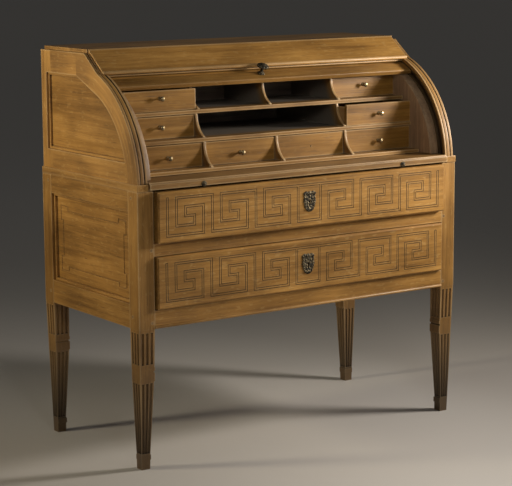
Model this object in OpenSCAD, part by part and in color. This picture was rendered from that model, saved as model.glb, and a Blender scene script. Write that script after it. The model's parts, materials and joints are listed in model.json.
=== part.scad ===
// Roll top desk in oak: a case of two long drawers on fluted tapering legs, with a sliding writing
// board, a gallery of small drawers and a slatted roll that turns in round grooves in the cheeks.
// X runs to the right, Y to the back and Z up. The floor is at Z = 0.

/* [Case] */
// Width over the posts of the lower case
case_w = 1096; // [1040:4:1200]
// Depth from the posts' front faces to the back
case_d = 525; // [520:5:600]
// Height of the lower case's top edge
case_h = 760; // [750:5:800]
// Length of the legs below the case
leg_h = 388; // [360:4:400]
// Side of the square posts
post_w = 49; // [46:1:56]
// Thickness of the side rails
rail_t = 27; // [24:1:32]
// Height of the side rail at the bottom
side_low_rail_h = 67; // [50:1:80]
// Height of the side rail at the top
side_top_rail_h = 54; // [40:1:64]
// Depth of the front rails, front to back
front_rail_d = 50; // [40:1:70]
// Radius of the pegs that pin the joints
peg_r = 3.6; // [2.5:0.1:5]
// Length of the pegs
peg_l = 24; // [16:1:30]
// Distance of the front pegs from the posts' inner faces
peg_inset = 8; // [6:1:12]
// How far the pegs stand out of the wood
peg_out = 0.4; // [0:0.1:1]

/* [Side panels] */
// How deep the side panels lie behind the frame
panel_sink = 16; // [8:1:17]
// Thickness of the side panels
panel_t = 10; // [8:1:12]
// Width of the bead around a panel
bead_w = 7; // [5:1:10]
// Width of the lines scored in wood
score_w = 3; // [2:0.5:5]
// Depth of the lines scored in wood
score_d = 1.8; // [1:0.2:3]
// Margin between the panel's edge and the scored outline
field_margin = 33; // [24:1:50]
// How far the scored outline lies behind the panel's middle
field_shift = 6; // [0:1:10]
// Length of an ear at each corner of the scored outline
ear_l = 40; // [20:1:60]
// How far an ear stands out
ear_w = 12; // [6:1:20]

/* [Legs] */
// Width of a leg just under the case
leg_top_w = 48; // [44:1:49]
// Width of a leg above the collar
leg_mid_w = 45; // [38:1:46]
// Height of the collar's top edge
collar_top = 283; // [260:1:300]
// Height of the collar
collar_h = 39; // [30:1:50]
// Height of the bead on top of the collar
collar_bead_h = 10; // [6:1:12]
// Height of the neck under that bead
collar_neck_h = 5; // [3:1:8]
// Width of the collar
collar_w = 49; // [46:1:49]
// Width of the leg under the collar
leg_low_w = 43; // [36:1:45]
// Width of the foot
foot_w = 27; // [24:1:32]
// Height of the foot block
foot_h = 26; // [20:1:32]
// Height of the bead over the foot block
ankle_h = 14; // [10:1:20]
// Foot's distance in from the case's side
foot_side_inset = 9; // [4:1:14]
// Foot's distance in from the posts' front
foot_front_inset = 14; // [8:1:16]
// Radius of the flutes
flute_r = 3.8; // [2.5:0.1:4.5]
// Plain length at the ends of the flutes
flute_stop = 9; // [6:1:16]

/* [Long drawers] */
// Height of the bottom rail
low_rail_h = 50; // [40:1:60]
// Radius of the bead along the bottom rail
rail_bead_r = 4; // [2:0.5:6]
// Height of the lower drawer's front
low_drawer_h = 142; // [120:1:150]
// Height of the rail between the drawers
mid_rail_h = 34; // [24:1:44]
// Gap above and below each drawer front
drawer_gap = 2; // [1:0.5:3]
// Gap between the upper drawer front and the writing board
slide_gap = 6; // [4:0.5:10]
// Gap at each end of a drawer front
drawer_end_gap = 5; // [3:0.5:8]
// Thickness of a drawer front
front_t = 23; // [20:1:26]
// How far a closed drawer front stands out of the posts
front_proud = 11; // [6:1:11]
// Chamfer along a drawer front's edges
front_chamfer = 4; // [2:0.5:8]
// How far the upper drawer stands open
upper_ajar = 7; // [0:1:14]
// Thickness of a drawer's sides and back
drawer_side_t = 12; // [9:1:14]
// Thickness of a drawer's bottom
drawer_bottom_t = 8; // [6:1:10]
// Height of a box's sides over the lower edge of its front
box_foot = 4; // [2:1:8]
// How much lower a box is than its front
box_drop = 14; // [8:1:20]
// Height of a drawer's bottom over the lower edge of its sides
bottom_up = 4; // [3:1:10]
// Clearance between a drawer box and the posts at each side
box_clear = 9; // [4:1:12]
// Depth of a long drawer's box behind its front
drawer_box_d = 440; // [400:5:450]
// Width of one drawer runner
runner_w = 40; // [30:1:50]
// Height of one drawer runner
runner_t = 20; // [16:1:24]
// How far the dust boards lie under the runners' tops
dust_drop = 4; // [2:1:6]
// Thickness of the boards between the drawers and at the bottom
dust_t = 10; // [8:1:14]

/* [Key pattern] */
// Width of one step of the key pattern
key_u = 28.5; // [24:0.5:29]
// Height of one step of the key pattern
key_v = 25; // [20:0.5:26]
// Key figures at each side of the keyhole
key_count = 3; // [1:1:3]
// Half the width of the frame around the keyhole
key_frame = 39; // [34:1:44]
// Width of the pattern's double line
key_line = 8; // [6:0.5:10]
// Width of the ridge between its two scored lines
key_ridge = 4; // [2:0.5:5]

/* [Locks] */
// Height of the keyholes over the middle of their drawer fronts
keyhole_up = 3; // [0:1:8]
// Width of a lock case
lock_w = 64; // [50:1:80]
// Height of a lock case
lock_h = 50; // [44:1:60]
// Thickness of a lock case
lock_t = 7; // [6:0.5:8]
// Width of a bolt
bolt_w = 20; // [14:1:26]
// Thickness of a bolt
bolt_t = 3; // [2:0.5:3.5]
// Length of a bolt
bolt_l = 24; // [18:1:30]
// Travel of a bolt
bolt_travel = 10; // [6:1:12]
// Clearance around a bolt in its mortise
bolt_clear = 1.5; // [1:0.5:3]
// How far a lock's top and its bolt lie under the drawer front's top
lock_drop = 1; // [0.5:0.5:3]
// Width of an escutcheon
plate_w = 44; // [36:1:50]
// Height of an escutcheon
plate_h = 58; // [50:1:64]
// Thickness of an escutcheon
plate_t = 2; // [1:0.2:3]
// Scrolls along an escutcheon's edge
scroll_n = 13; // [11:2:15]
// Radius of a scroll
scroll_r = 6.2; // [5.5:0.1:7]
// Width of an escutcheon's bars
bar_w = 5; // [3:0.5:7]
// Radius of a keyhole's round part
keyhole_r = 3.5; // [2.5:0.1:4]
// Width of a keyhole's slot
keyhole_w = 3.2; // [2:0.1:4]
// Length of a keyhole's slot
keyhole_l = 12; // [8:1:15]

/* [Writing board] */
// Thickness of the writing board
slide_t = 20; // [16:1:22]
// Depth of the writing board
slide_d = 440; // [360:5:460]
// Size of the step along its upper front edge
slide_lip = 4; // [2:0.5:6]
// How far its front edge stands out of the posts
slide_proud = 8; // [4:1:12]
// Clearance around the writing board
slide_clear = 0.8; // [0.5:0.1:1.5]
// Distance of a pull from the desk's middle
pull_x = 344; // [250:1:400]
// Height of a pull's middle over the board's underside
pull_z = 6; // [5:0.5:10]
// Radius of a pull
pull_r = 5.5; // [4:0.5:7]
// Gap between the upper drawer's front and the bed behind it
bed_clear = 2; // [1:0.5:5]
// Thickness of the bed under the writing board
bed_t = 12; // [8:1:14]

/* [Cheeks] */
// How far the cheeks' outer faces lie inside the lower case's
cheek_inset = 4.5; // [2:0.5:8]
// Thickness of a cheek
cheek_t = 30; // [26:1:34]
// Clearance between the open roll's end and the back boards
roll_back_gap = 8; // [5:1:15]
// Height of the curve's centre over the lower case
axis_lift = 0; // [0:1:10]
// How far the curve's front lies behind the posts' faces
curve_back = 3; // [2:1:8]
// Width of the curved stile
stile_w = 54; // [48:1:64]
// Width of a cheek's back stile
back_stile_w = 28; // [24:1:40]
// Height of a cheek's bottom rail
cheek_low_rail_h = 72; // [60:1:80]
// Height of a cheek's top rail
cheek_top_rail_h = 63; // [56:1:70]
// How deep a cheek panel lies behind its frame
cheek_sink = 13; // [8:1:14]
// Angle at which the round part of a cheek's panel ends
panel_turn = 72; // [66:1:76]
// Height of the waist moulding
waist_h = 19; // [14:1:24]
// How far the waist moulding stands out of the lower case at the sides
waist_out = 1; // [1:1:12]
// How far it stands out of the posts' front faces
waist_front = 3; // [2:1:8]
// Depth of the grooves between the beads on the curved edge
edge_groove = 4; // [2:0.5:6]
// Width of those grooves
edge_cut = 3; // [2:0.5:4]
// Width of the bead along a cheek's outer edge
edge_outer = 8; // [6:0.5:10]
// Width of the bead along its inner edge
edge_inner = 6; // [4:0.5:8]
// How far the flats between the beads lie under them
edge_flat = 1; // [0.5:0.5:3]

/* [Top] */
// Rise of the top over the curve
top_rise = 41; // [38:1:50]
// Thickness of the flat top
top_t = 10; // [8:1:14]
// How far the flat top's ends lie inside the cheeks' outer faces
top_inset = 11.5; // [8:0.5:15]
// Depth of the sloping board, front to back
slope_run = 77; // [70:1:84]
// Drop of the sloping board
slope_drop = 58; // [52:1:62]
// Distance from the curve's centre forward to the top of the slope
slope_back = 43; // [38:1:48]
// Thickness of the sloping board
slope_t = 18; // [14:1:19]
// Radius of the upper bead along the sloping board's lower edge
slope_bead = 5.5; // [4:0.5:6]
// Radius of the lower bead
slope_bead_low = 3; // [2:0.5:4]
// How far the upper bead stands out of the board's face
bead_stand = 1.5; // [0.5:0.5:3]
// Width of a cheek's strip beside the sloping board
slope_strip = 16; // [12:1:18]
// How far the strips lie under the sloping board's face
strip_set = 6; // [1:0.5:8]
// Thickness of the back boards
back_t = 12; // [8:1:12]
// Width of one back board
plank_w = 180; // [120:10:240]

/* [Roll] */
// Width of the strip in front of the roll's groove
strip_w = 14; // [13:1:18]
// Thickness of the roll
roll_t = 14; // [12:1:17]
// Clearance at each face of the roll
roll_clear = 0.4; // [0.3:0.1:1.5]
// Depth of the grooves in the cheeks
groove_d = 10; // [6:1:12]
// Clearance between the roll's ends and the grooves' bottoms
groove_clear = 1.5; // [0.5:0.5:3]
// Angle by which the grooves go on past the open and the closed roll
groove_stop = 1; // [0.5:0.5:1.5]
// Angle that the roll covers
roll_span = 67; // [66:1:68]
// Angle of the roll's lower edge when it stands open
roll_open = 59.5; // [56:0.5:60]
// Angle of the roll's lower edge when it is closed
roll_shut = 5; // [4.8:0.1:6]
// Angle that the lower rail covers
roll_rail_a = 8; // [6:0.5:9]
// Number of slats
slat_n = 15; // [10:1:24]
// Share of its pitch that a slat fills
slat_fill = 0.97; // [0.9:0.01:0.98]
// Radius of a slat's rounded face
slat_round = 15.8; // [14:0.2:18]
// Thickness of the canvas behind the slats
canvas_t = 1.2; // [0.8:0.1:2]
// Angle between the canvas's ends and the pieces beside them
canvas_gap = 0.2; // [0.1:0.1:0.4]
// Distance of the canvas's edges from the cheeks
canvas_inset = 12; // [5:1:30]
// Radius of the roll's knob
roll_knob_r = 12; // [8:1:14]
// Length of the roll's knob
roll_knob_l = 24; // [18:1:26]
// How far the roll's knob sits to the left of the middle
roll_knob_left = 17; // [0:1:20]
// Clearance between the roll's knob and the bead over it
roll_knob_under = 5.5; // [4:0.5:8]

/* [Gallery] */
// Thickness of the gallery's side boards
gallery_side_t = 30; // [18:1:32]
// Clearance between the roll and the gallery's side boards
gallery_clear = 3.5; // [3:0.5:10]
// Thickness of the shelves
shelf_t = 11; // [8:1:14]
// Thickness of the dividers
divider_t = 8; // [6:1:10]
// Height inside the bottom tier
tier1_h = 68; // [60:1:72]
// Height inside the middle tier
tier2_h = 64; // [56:1:68]
// Height of the gallery's top under the roll's highest point
gallery_drop = 34; // [34:1:60]
// Distance of the base board's front edge forward of the curve's centre
base_reach = 235; // [200:1:240]
// How far each tier steps back
tier_step = 39; // [34:1:42]
// Distance of the outer dividers from the middle one
divider_x = 245; // [200:1:260]
// Height of a divider's straight toe under its hollow nose
divider_toe = 3; // [2:1:6]
// How far the two lower tiers' dividers sit to the left of the desk's middle
divider_shift = 7; // [0:1:12]
// Gap between the gallery's back and the back boards
gallery_back_gap = 37; // [34:1:60]
// Distance of the top tier's back behind the curve's centre
top_back_reach = 80; // [60:1:84]
// Thickness of the gallery's top
gallery_top_t = 8; // [6:1:10]
// Thickness of the gallery's backs
gallery_back_t = 6; // [4:1:8]

/* [Small drawers] */
// Clearance around a small drawer
small_gap = 1.2; // [0.8:0.1:2]
// Gap over a small drawer
small_top_gap = 2; // [1:0.5:3]
// Gap behind a closed small drawer
small_back_gap = 6; // [3:1:20]
// How much lower a small drawer's sides are than its front
small_step = 6; // [3:1:10]
// Thickness of a small drawer's front
small_front_t = 10; // [8:1:14]
// Thickness of a small drawer's sides, back and bottom
small_side_t = 5; // [4:0.5:7]
// How far the top left drawer stands open
left_ajar = 36; // [0:1:38]
// How far the middle right drawer stands open
right_ajar = 42; // [0:1:44]
// Radius of a knob
knob_r = 7; // [5:0.5:9]
// Length of a knob
knob_l = 17; // [12:1:18]
// Radius of the hole that a lost knob leaves
knob_hole_r = 2; // [1:0.5:3]

/* [Hidden] */
$fn = 64;

seat = 0.3;       // gap of a piece that lies on another
joint_gap = 0.15; // gap all round a peg in its hole
plate_gap = 0.05; // gap of an escutcheon on its drawer
oak = "#9b6b30";
pale_oak = "#b78a4c";
dark_oak = "#5b3d1c";
brass = "#b08d3e";
old_brass = "#4a4030";
linen = "#a89a7c";

// The lower case
half_w = case_w / 2;
post_in = half_w - post_w;
opening_low = leg_h + low_rail_h;
mid_rail_z = opening_low + low_drawer_h + 2 * drawer_gap;
upper_low = mid_rail_z + mid_rail_h;
slide_z = case_h + 3;
slide_top = slide_z + slide_t;
upper_drawer_h = slide_z - slide_gap - upper_low - drawer_gap;
front_w = case_w - 2 * post_w - 2 * drawer_end_gap;
box_w = 2 * (post_in - box_clear);
bed_y = front_t - front_proud + bed_clear;

// The cheeks and the curve
cheek_out = half_w - cheek_inset;
cheek_in = cheek_out - cheek_t;
roll_end = roll_open + roll_span - 90;
curve_r = (case_d - back_t - roll_back_gap - curve_back + sin(roll_end) * (strip_w + roll_clear))
    / (1 + sin(roll_end));
axis_y = curve_back + curve_r;
axis_z = case_h + axis_lift;
total_h = axis_z + curve_r + top_rise;
slope_angle = atan2(slope_drop, slope_run);
slope_y0 = axis_y - slope_back - slope_run;
slope_y1 = axis_y - slope_back;
slope_z0 = total_h - slope_drop;
slope_in = slope_t * [sin(slope_angle), -cos(slope_angle)];
bead_arm = [slope_y0, slope_z0] + slope_in * (slope_bead - bead_stand) / slope_t - [axis_y, axis_z];
roll_knob_turn = atan2(bead_arm.y, -bead_arm.x)
    - asin((roll_knob_r + slope_bead + roll_knob_under) / norm(bead_arm));
strip_r = sin(slope_angle) * (axis_y - slope_y0) + cos(slope_angle) * (slope_z0 - axis_z) - strip_set;
groove_out_r = curve_r - strip_w;
groove_in_r = groove_out_r - roll_t - 2 * roll_clear;
roll_out_r = groove_out_r - roll_clear;
roll_in_r = roll_out_r - roll_t;
roll_half = cheek_in + groove_d - groove_clear;
slat_pitch = (roll_span - roll_rail_a) / slat_n;

// The gallery
gal_in = cheek_in - gallery_side_t;
base_z = slide_top + 1;
tier_z = [
    base_z + shelf_t,
    base_z + 2 * shelf_t + tier1_h,
    base_z + 3 * shelf_t + tier1_h + tier2_h
];
gal_top_z = axis_z + roll_in_r - gallery_drop - gallery_top_t;
tier_h = [tier1_h, tier2_h, gal_top_z - tier_z[2]];
tier_front = [for (i = [0 : 3]) axis_y - base_reach + i * tier_step];
gallery_back_y = case_d - back_t - gallery_back_gap - gallery_back_t;
top_back_y = axis_y + top_back_reach;
tier_back = [gallery_back_y, gallery_back_y, top_back_y];
gallery_r = roll_in_r - gallery_clear;
face_set = 5; // a small drawer's face lies this far behind the shelf edge over it

// Outer points of the pieces that stand out furthest, to set the origin in the middle
front_y = -max(front_proud + upper_ajar + plate_t, slide_proud + seat + knob_l);
mid_y = (front_y + case_d) / 2;

// Moves the desk so that the origin is under its middle
module seated() {
    translate([0, -mid_y, 0])
        children();
}

// Box between two corners
module board(low, high) {
    translate(low)
        cube(high - low);
}

// Extrudes a shape drawn in Y and Z along X
module along_x(x0, x1) {
    translate([x0, 0, 0])
        rotate([90, 0, 90])
            linear_extrude(x1 - x0)
                children();
}

// Extrudes a shape drawn in X and Z along Y
module along_y(y0, y1) {
    translate([0, y1, 0])
        rotate([90, 0, 0])
            linear_extrude(y1 - y0)
                children();
}

// Draws its children at the left and mirrored at the right
module both_sides() {
    children();
    mirror([1, 0, 0])
        children();
}

// Straight rod between two points
module rod(p, q, r) {
    d = q - p;
    len = norm(d);
    translate(p)
        rotate([0, acos(d.z / len), atan2(d.y, d.x)])
            cylinder(r = r, h = len, $fn = 24);
}

// Band of a width through points that lie straight above or beside each other
module score(points, w) {
    for (i = [1 : len(points) - 1]) {
        a = points[i - 1];
        b = points[i];
        low = [min(a.x, b.x) - w / 2, min(a.y, b.y) - w / 2];
        high = [max(a.x, b.x) + w / 2, max(a.y, b.y) + w / 2];
        translate(low)
            square(high - low);
    }
}

// ---- Legs and posts ----

function mix(a, b, t) = a + (b - a) * t;
// Distance of a leg's outer faces in from the post's, at a height
function leg_in_x(z) = mix(foot_side_inset, (post_w - leg_top_w) / 2, z / leg_h);
function leg_in_y(z) = mix(foot_front_inset, (post_w - leg_top_w) / 2, z / leg_h);

// Square piece of a leg between two heights, with its outer corner at the origin
module leg_piece(z0, z1, w0, w1) {
    intersection() {
        along_y(0, post_w)
            polygon([
                [leg_in_x(z0), z0], [leg_in_x(z0) + w0, z0],
                [leg_in_x(z1) + w1, z1], [leg_in_x(z1), z1]
            ]);
        along_x(0, post_w)
            polygon([
                [leg_in_y(z0), z0], [leg_in_y(z0) + w0, z0],
                [leg_in_y(z1) + w1, z1], [leg_in_y(z1), z1]
            ]);
    }
}

// Three flutes on each face of a piece of leg
module flutes(z0, z1, w0, w1) {
    for (n = [1 : 3], turn = [0 : 3]) {
        s0 = w0 * (0.5 + (n - 2) * 0.3);
        s1 = w1 * (0.5 + (n - 2) * 0.3);
        spots = [
            [[s0, 0], [s1, 0]], [[w0, s0], [w1, s1]], [[s0, w0], [s1, w1]], [[0, s0], [0, s1]]
        ];
        p = spots[turn][0];
        q = spots[turn][1];
        rod(
            [leg_in_x(z0) + p.x, leg_in_y(z0) + p.y, z0],
            [leg_in_x(z1) + q.x, leg_in_y(z1) + q.y, z1],
            flute_r
        );
    }
}

module leg() {
    collar_low = collar_top - collar_h;
    bead_low = collar_top - collar_bead_h;
    neck_low = bead_low - collar_neck_h;
    ankle = foot_h + ankle_h;
    flute_low = collar_top + flute_stop;
    difference() {
        leg_piece(collar_top, leg_h, leg_mid_w, leg_top_w);
        flutes(
            flute_low, leg_h - flute_stop,
            mix(leg_mid_w, leg_top_w, flute_stop / (leg_h - collar_top)), leg_top_w
        );
    }
    // Bead, neck and block of the collar
    leg_piece(bead_low, collar_top, leg_mid_w + 2, leg_mid_w + 2);
    leg_piece(neck_low, bead_low, leg_low_w, leg_low_w);
    leg_piece(collar_low, neck_low, collar_w - 2, collar_w - 1);
    difference() {
        leg_piece(ankle, collar_low, foot_w, leg_low_w);
        flutes(ankle + flute_stop / 2, collar_low - flute_stop / 2, foot_w, leg_low_w);
    }
    leg_piece(foot_h, ankle, foot_w + 2, foot_w + 2);
    leg_piece(0, foot_h, foot_w - 1, foot_w);
}

// Centres of the peg holes: on the front face as [x, z] and on the side face as [y, z]
front_pegs = [
    [post_w - peg_inset, leg_h + low_rail_h / 3],
    [post_w - peg_inset, mid_rail_z + mid_rail_h / 2]
];
side_pegs = [
    [post_w - 2 * peg_inset, leg_h + side_low_rail_h / 2],
    [post_w - 2 * peg_inset, case_h - side_top_rail_h / 3]
];

module front_post_pegs(r, l) {
    for (p = front_pegs)
        translate([p.x, -peg_out, p.y])
            rotate([-90, 0, 0])
                cylinder(r = r, h = l);
}

module side_post_pegs(r, l) {
    for (p = side_pegs)
        translate([-peg_out, p.x, p.y])
            rotate([0, 90, 0])
                cylinder(r = r, h = l);
}

// Front left post, with its outer corner at the origin
module front_post() {
    leg();
    difference() {
        translate([0, 0, leg_h])
            cube([post_w, post_w, case_h - leg_h]);
        front_post_pegs(peg_r + joint_gap, peg_l + 1);
        side_post_pegs(peg_r + joint_gap, peg_l + 1);
    }
}

// Back left post, drawn as the front one and turned about by its user
module back_post() {
    leg();
    difference() {
        translate([0, 0, leg_h])
            cube([post_w, post_w, case_h - leg_h]);
        side_post_pegs(peg_r + joint_gap, peg_l + 1);
    }
}

module at_front_left() {
    translate([-half_w, 0, 0])
        children();
}

module at_back_left() {
    translate([-half_w, case_d, 0])
        mirror([0, 1, 0])
            children();
}

module post_front_left() {
    color(oak) seated() at_front_left() front_post();
}

module post_front_right() {
    color(oak) seated() mirror([1, 0, 0]) at_front_left() front_post();
}

module post_back_left() {
    color(oak) seated() at_back_left() back_post();
}

module post_back_right() {
    color(oak) seated() mirror([1, 0, 0]) at_back_left() back_post();
}

module joint_pegs() {
    color(dark_oak)
        seated()
            both_sides() {
                at_front_left() front_post_pegs(peg_r, peg_l);
                at_front_left() side_post_pegs(peg_r, peg_l);
                at_back_left() side_post_pegs(peg_r, peg_l);
            }
}

// ---- Sides of the lower case ----

module side_rails() {
    color(oak)
        seated()
            both_sides() {
                for (z = [[leg_h, leg_h + side_low_rail_h], [case_h - side_top_rail_h, case_h]])
                    board(
                        [-half_w, post_w, z[0]],
                        [-half_w + rail_t, case_d - post_w, z[1]]
                    );
            }
}

// Outline scored in a side panel: a rectangle with an ear at each corner
module panel_field(y0, y1, z0, z1) {
    e = ear_l;
    w = ear_w;
    score([
        [y0, z0], [y0 + e, z0], [y0 + e, z0 + w], [y1 - e, z0 + w], [y1 - e, z0], [y1, z0],
        [y1, z0 + e], [y1 - w, z0 + e], [y1 - w, z1 - e], [y1, z1 - e], [y1, z1],
        [y1 - e, z1], [y1 - e, z1 - w], [y0 + e, z1 - w], [y0 + e, z1], [y0, z1],
        [y0, z1 - e], [y0 + w, z1 - e], [y0 + w, z0 + e], [y0, z0 + e], [y0, z0]
    ], score_w);
}

// Left side panel with the bead that frames it
module side_panel() {
    y0 = post_w;
    y1 = case_d - post_w;
    z0 = leg_h + side_low_rail_h;
    z1 = case_h - side_top_rail_h;
    x0 = -half_w + panel_sink;
    m = field_margin;
    difference() {
        board([x0, y0, z0], [x0 + panel_t, y1, z1]);
        along_x(x0 - 1, x0 + score_d)
            panel_field(y0 + m + field_shift, y1 - m + field_shift, z0 + m, z1 - m);
    }
    difference() {
        board([-half_w + panel_sink / 2, y0, z0], [x0, y1, z1]);
        board([-half_w, y0 + bead_w, z0 + bead_w], [x0 + 1, y1 - bead_w, z1 - bead_w]);
    }
}

module side_panel_left() {
    color(pale_oak) seated() side_panel();
}

module side_panel_right() {
    color(pale_oak) seated() mirror([1, 0, 0]) side_panel();
}

// ---- Inside of the lower case ----

module front_rail_bottom() {
    color(oak)
        seated() {
            board([-post_in, 0, leg_h], [post_in, front_rail_d, opening_low]);
            translate([-post_in, 0, leg_h + rail_bead_r])
                rotate([0, 90, 0])
                    cylinder(r = rail_bead_r, h = 2 * post_in);
        }
}

module front_rail_middle() {
    z1 = mid_rail_z + mid_rail_h;
    color(oak)
        seated()
            difference() {
                board([-post_in, 0, mid_rail_z], [post_in, front_rail_d, z1]);
                // Mortise that takes the lower drawer's bolt
                bolt_mortise(mid_rail_z, 0);
            }
}

// Top of the runner that carries the drawer whose front starts at a height
function runner_top(z) = z + box_foot - seat;

module drawer_runners() {
    color(pale_oak)
        seated()
            both_sides() {
                for (z = [opening_low + drawer_gap, upper_low + drawer_gap])
                    board(
                        [-post_in, front_rail_d, runner_top(z) - runner_t],
                        [-post_in + runner_w, case_d - back_t, runner_top(z)]
                    );
            }
}

module dust_boards() {
    color(pale_oak)
        seated()
            for (z = [opening_low + drawer_gap, upper_low + drawer_gap])
                board(
                    [-post_in + runner_w, front_rail_d, runner_top(z) - dust_drop - dust_t],
                    [post_in - runner_w, case_d - back_t, runner_top(z) - dust_drop]
                );
}

module desk_bed() {
    color(pale_oak)
        seated()
            board(
                [-post_in, bed_y, slide_z - seat - bed_t],
                [post_in, case_d - back_t, slide_z - seat]
            );
}

// Row of upright boards across the back
module back_row(x, z0, z1) {
    n = ceil(2 * x / plank_w);
    w = 2 * x / n;
    for (i = [0 : n - 1])
        board(
            [-x + i * w + 0.2, case_d - back_t, z0],
            [-x + (i + 1) * w - 0.2, case_d, z1]
        );
}

module back_boards() {
    color(pale_oak)
        seated() {
            back_row(post_in, leg_h, case_h);
            back_row(cheek_in, case_h, total_h - top_t);
        }
}

module waist_mouldings() {
    out = half_w + waist_out;
    z1 = case_h + waist_h;
    color(oak)
        seated()
            both_sides() {
                difference() {
                    board([-out, -waist_front, case_h], [-cheek_in - slide_clear, case_d, z1]);
                    board([-cheek_out, curve_back, case_h - 1], [0, case_d + 1, z1 + 1]);
                }
            }
}

// ---- Cheeks ----

module on_axis() {
    translate([axis_y, axis_z])
        children();
}

// Cross-section of the sloping board
slope_shape = [
    [slope_y0, slope_z0],
    [slope_y1, total_h],
    [slope_y1, slope_z0 + slope_in.y + (slope_y1 - slope_y0 - slope_in.x) * tan(slope_angle)],
    [slope_y0 + slope_in.x, slope_z0 + slope_in.y]
];

// Side view of the sloping board, with two beads along its lower edge
module slope_profile(grow = 0) {
    polygon(slope_shape);
    for (b = [[slope_bead - bead_stand, slope_bead], [slope_t - slope_bead_low, slope_bead_low]])
        translate([slope_y0, slope_z0] + slope_in * b[0] / slope_t)
            circle(r = b[1] + grow);
}

// Side view of what a cheek has over its curve where the sloping board lies on it
module slope_backing() {
    polygon([
        [axis_y, axis_z], [axis_y, total_h], [slope_y1, total_h], slope_shape[2], slope_shape[3]
    ]);
}

// Side view of the strip beside the sloping board, which runs down into the curve
module slope_strip_shape(inset) {
    r = strip_r - inset;
    foot = [axis_y - r * sin(slope_angle), axis_z + r * cos(slope_angle)];
    polygon([
        [axis_y, axis_z], foot, [foot.x + (total_h - foot.y) / tan(slope_angle), total_h],
        [axis_y, total_h]
    ]);
}

// Side view of a cheek with its round front drawn in by an inset, as a strip or under the slope
module cheek_shape(inset, strip) {
    r = curve_r - inset;
    difference() {
        union() {
            intersection() {
                on_axis() circle(r = r, $fn = 180);
                translate([0, axis_z]) square([axis_y, curve_r]);
            }
            translate([axis_y - r, case_h])
                square([r + 1, axis_z - case_h + seat]);
            translate([axis_y - 1, case_h])
                square([case_d - axis_y + 1, total_h - top_t - case_h]);
            if (strip) slope_strip_shape(inset);
            else slope_backing();
        }
        if (!strip) slope_profile(seat);
        translate([0, total_h - top_t])
            square([case_d, top_t + 1]);
    }
}

// Side view of the opening for a cheek's panel, drawn smaller by an inset
module cheek_opening(inset = 0) {
    r = curve_r - stile_w - inset;
    z0 = case_h + cheek_low_rail_h + inset;
    z1 = total_h - top_t - cheek_top_rail_h - inset;
    back = case_d - back_stile_w - inset;
    turn = [axis_y - r * cos(panel_turn), axis_z + r * sin(panel_turn)];
    intersection() {
        on_axis() circle(r = r, $fn = 180);
        translate([axis_y - r, z0]) square([r, r]);
    }
    polygon([[axis_y, z0], [back, z0], [back, z1], [axis_y, z1], turn]);
}

// Side view of the groove, which ends just past the roll's two places
module groove_shape() {
    sector(groove_in_r, groove_out_r, roll_shut - groove_stop, roll_open + roll_span + groove_stop);
}

module groove_cut() {
    along_x(-cheek_in - groove_d, -cheek_in + 1)
        groove_shape();
}

// Frame of the left cheek
module cheek() {
    x1 = -cheek_in;
    x0 = -cheek_out;
    mid = cheek_t - edge_inner - edge_cut;
    // Beads along the curved edge: from and to as widths from the outer face, inset, strip or not
    steps = [
        [0, edge_outer, 0, true], [edge_outer, edge_outer + edge_cut, edge_groove, true],
        [edge_outer + edge_cut, slope_strip, edge_flat, true], [slope_strip, mid, edge_flat, false],
        [mid, mid + edge_cut, edge_groove, false], [mid + edge_cut, cheek_t, 0, false]
    ];
    difference() {
        for (s = steps)
            along_x(x0 + s[0], x0 + s[1])
                difference() {
                    cheek_shape(s[2], s[3]);
                    cheek_opening();
                }
        groove_cut();
    }
}

module cheek_panel() {
    x0 = -cheek_out + cheek_sink;
    difference() {
        along_x(x0, -cheek_in)
            cheek_opening();
        groove_cut();
    }
    // Bead round the panel
    along_x(-cheek_out + cheek_sink / 2, x0)
        difference() {
            cheek_opening();
            cheek_opening(bead_w);
        }
}

module cheek_left() {
    color(oak) seated() cheek();
}

module cheek_right() {
    color(oak) seated() mirror([1, 0, 0]) cheek();
}

module cheek_panel_left() {
    color(pale_oak) seated() cheek_panel();
}

module cheek_panel_right() {
    color(pale_oak) seated() mirror([1, 0, 0]) cheek_panel();
}

// ---- Top ----

module top_board() {
    x = cheek_out - top_inset;
    color(oak)
        seated()
            board([-x, slope_y1, total_h - top_t], [x, case_d, total_h]);
}

module slope_board() {
    x = cheek_out - slope_strip;
    color(oak)
        seated()
            along_x(-x, x)
                slope_profile();
}

// ---- Gallery ----

module gallery_base() {
    color(pale_oak)
        seated()
            board([-gal_in, tier_front[0], base_z], [gal_in, gallery_back_y, tier_z[0]]);
}

module shelf(i, back) {
    board(
        [-gal_in, tier_front[i], tier_z[i] - shelf_t],
        [gal_in, back, tier_z[i]]
    );
}

module gallery_shelf_lower() {
    color(pale_oak) seated() shelf(1, gallery_back_y);
}

module gallery_shelf_upper() {
    color(pale_oak) seated() shelf(2, gallery_back_y + gallery_back_t);
}

module gallery_top() {
    color(pale_oak)
        seated()
            board(
                [-gal_in, tier_front[3], gal_top_z],
                [gal_in, top_back_y + gallery_back_t, gal_top_z + gallery_top_t]
            );
}

module gallery_sides() {
    color(pale_oak)
        seated()
            both_sides()
                along_x(-cheek_in, -gal_in)
                    difference() {
                        on_axis() circle(r = gallery_r, $fn = 180);
                        square([2 * case_d, base_z]);
                        translate([gallery_back_y + gallery_back_t, 0]) square([case_d, 2 * total_h]);
                    }
}

module gallery_backs() {
    color(pale_oak)
        seated() {
            board(
                [-gal_in, gallery_back_y, base_z],
                [gal_in, gallery_back_y + gallery_back_t, tier_z[2] - shelf_t]
            );
            board(
                [-gal_in, top_back_y, tier_z[2]],
                [gal_in, top_back_y + gallery_back_t, gal_top_z]
            );
        }
}

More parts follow.
